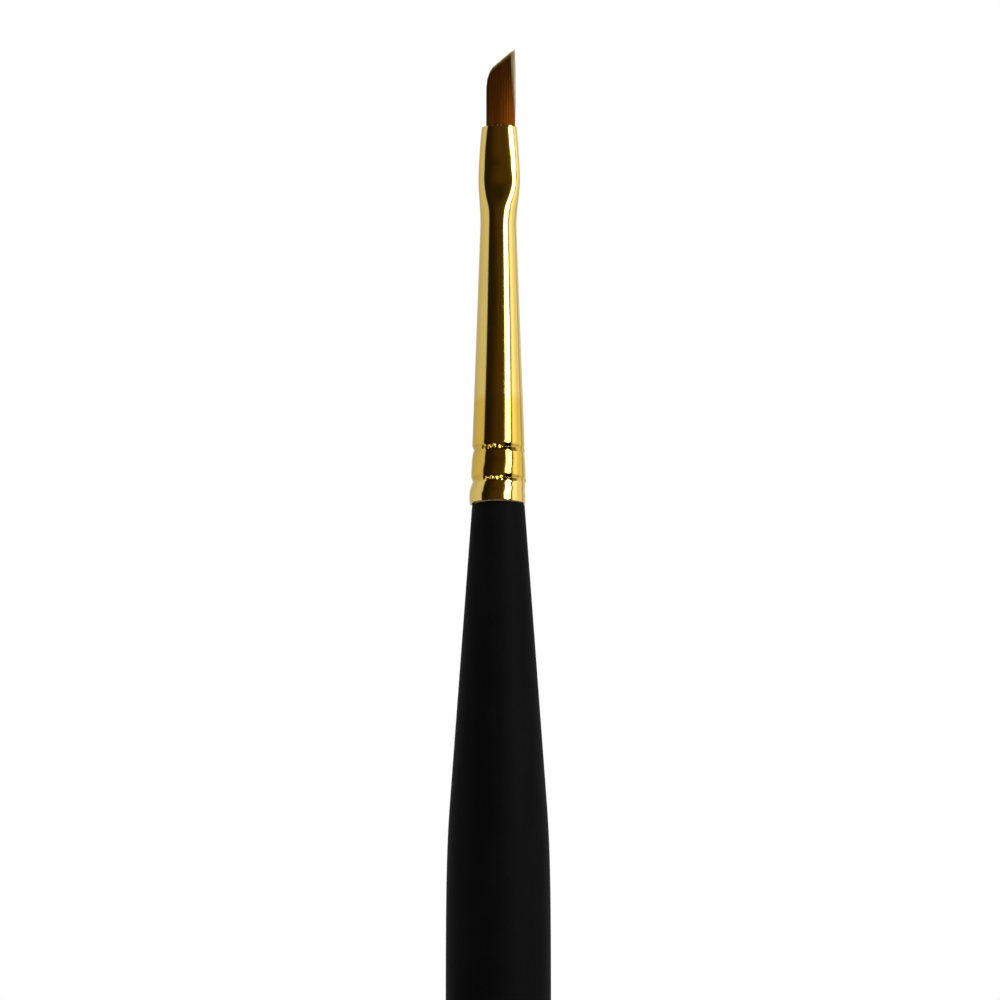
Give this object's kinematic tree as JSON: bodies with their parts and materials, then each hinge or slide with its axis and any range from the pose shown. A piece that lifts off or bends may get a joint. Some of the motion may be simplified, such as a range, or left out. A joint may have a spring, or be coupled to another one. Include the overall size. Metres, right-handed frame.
{
  "type": "angled paint brush",
  "caption": "Small flat angled artist's brush: slant-cut brown hair in a gold crimped ferrule on a turned matte black handle.",
  "frame": {"origin": "centre of the flat at the handle's butt end", "axes": "+Z along the brush from the butt end to the hair; +X across the flat of the hair, towards the long side of the slant; the flat faces of the ferrule look along +Y and -Y"},
  "size_m": [0.0072, 0.0072, 0.1752],
  "materials": {
    "birch": "bare turned birch",
    "black_lacquer": "matte black lacquer",
    "gold_ferrule": "polished gold-coloured brass",
    "tenon_glue": "set wood glue",
    "brown_hair": "fine brown hair, darker at the left, amber at the right",
    "binding_thread": "twisted thread",
    "resin": "clear amber epoxy resin"
  },
  "bodies": {
    "handle": {"handle_core": "birch", "handle_coat": "black_lacquer", "ferrule": "gold_ferrule", "tenon_glue": "tenon_glue", "hair_root": "brown_hair", "binding_thread": "binding_thread", "resin_plug": "resin"},
    "tuft": {"hair_tuft": "brown_hair"}
  },
  "joints": [
    {"name": "tuft_flex", "type": "hinge", "parent": "handle", "child": "tuft", "pos_m": [0.00016, 0, 0.17002], "axis": [1, 0, 0], "range_deg": [-35, 35], "stiffness_Nm_per_rad": 0.0003}
  ]
}
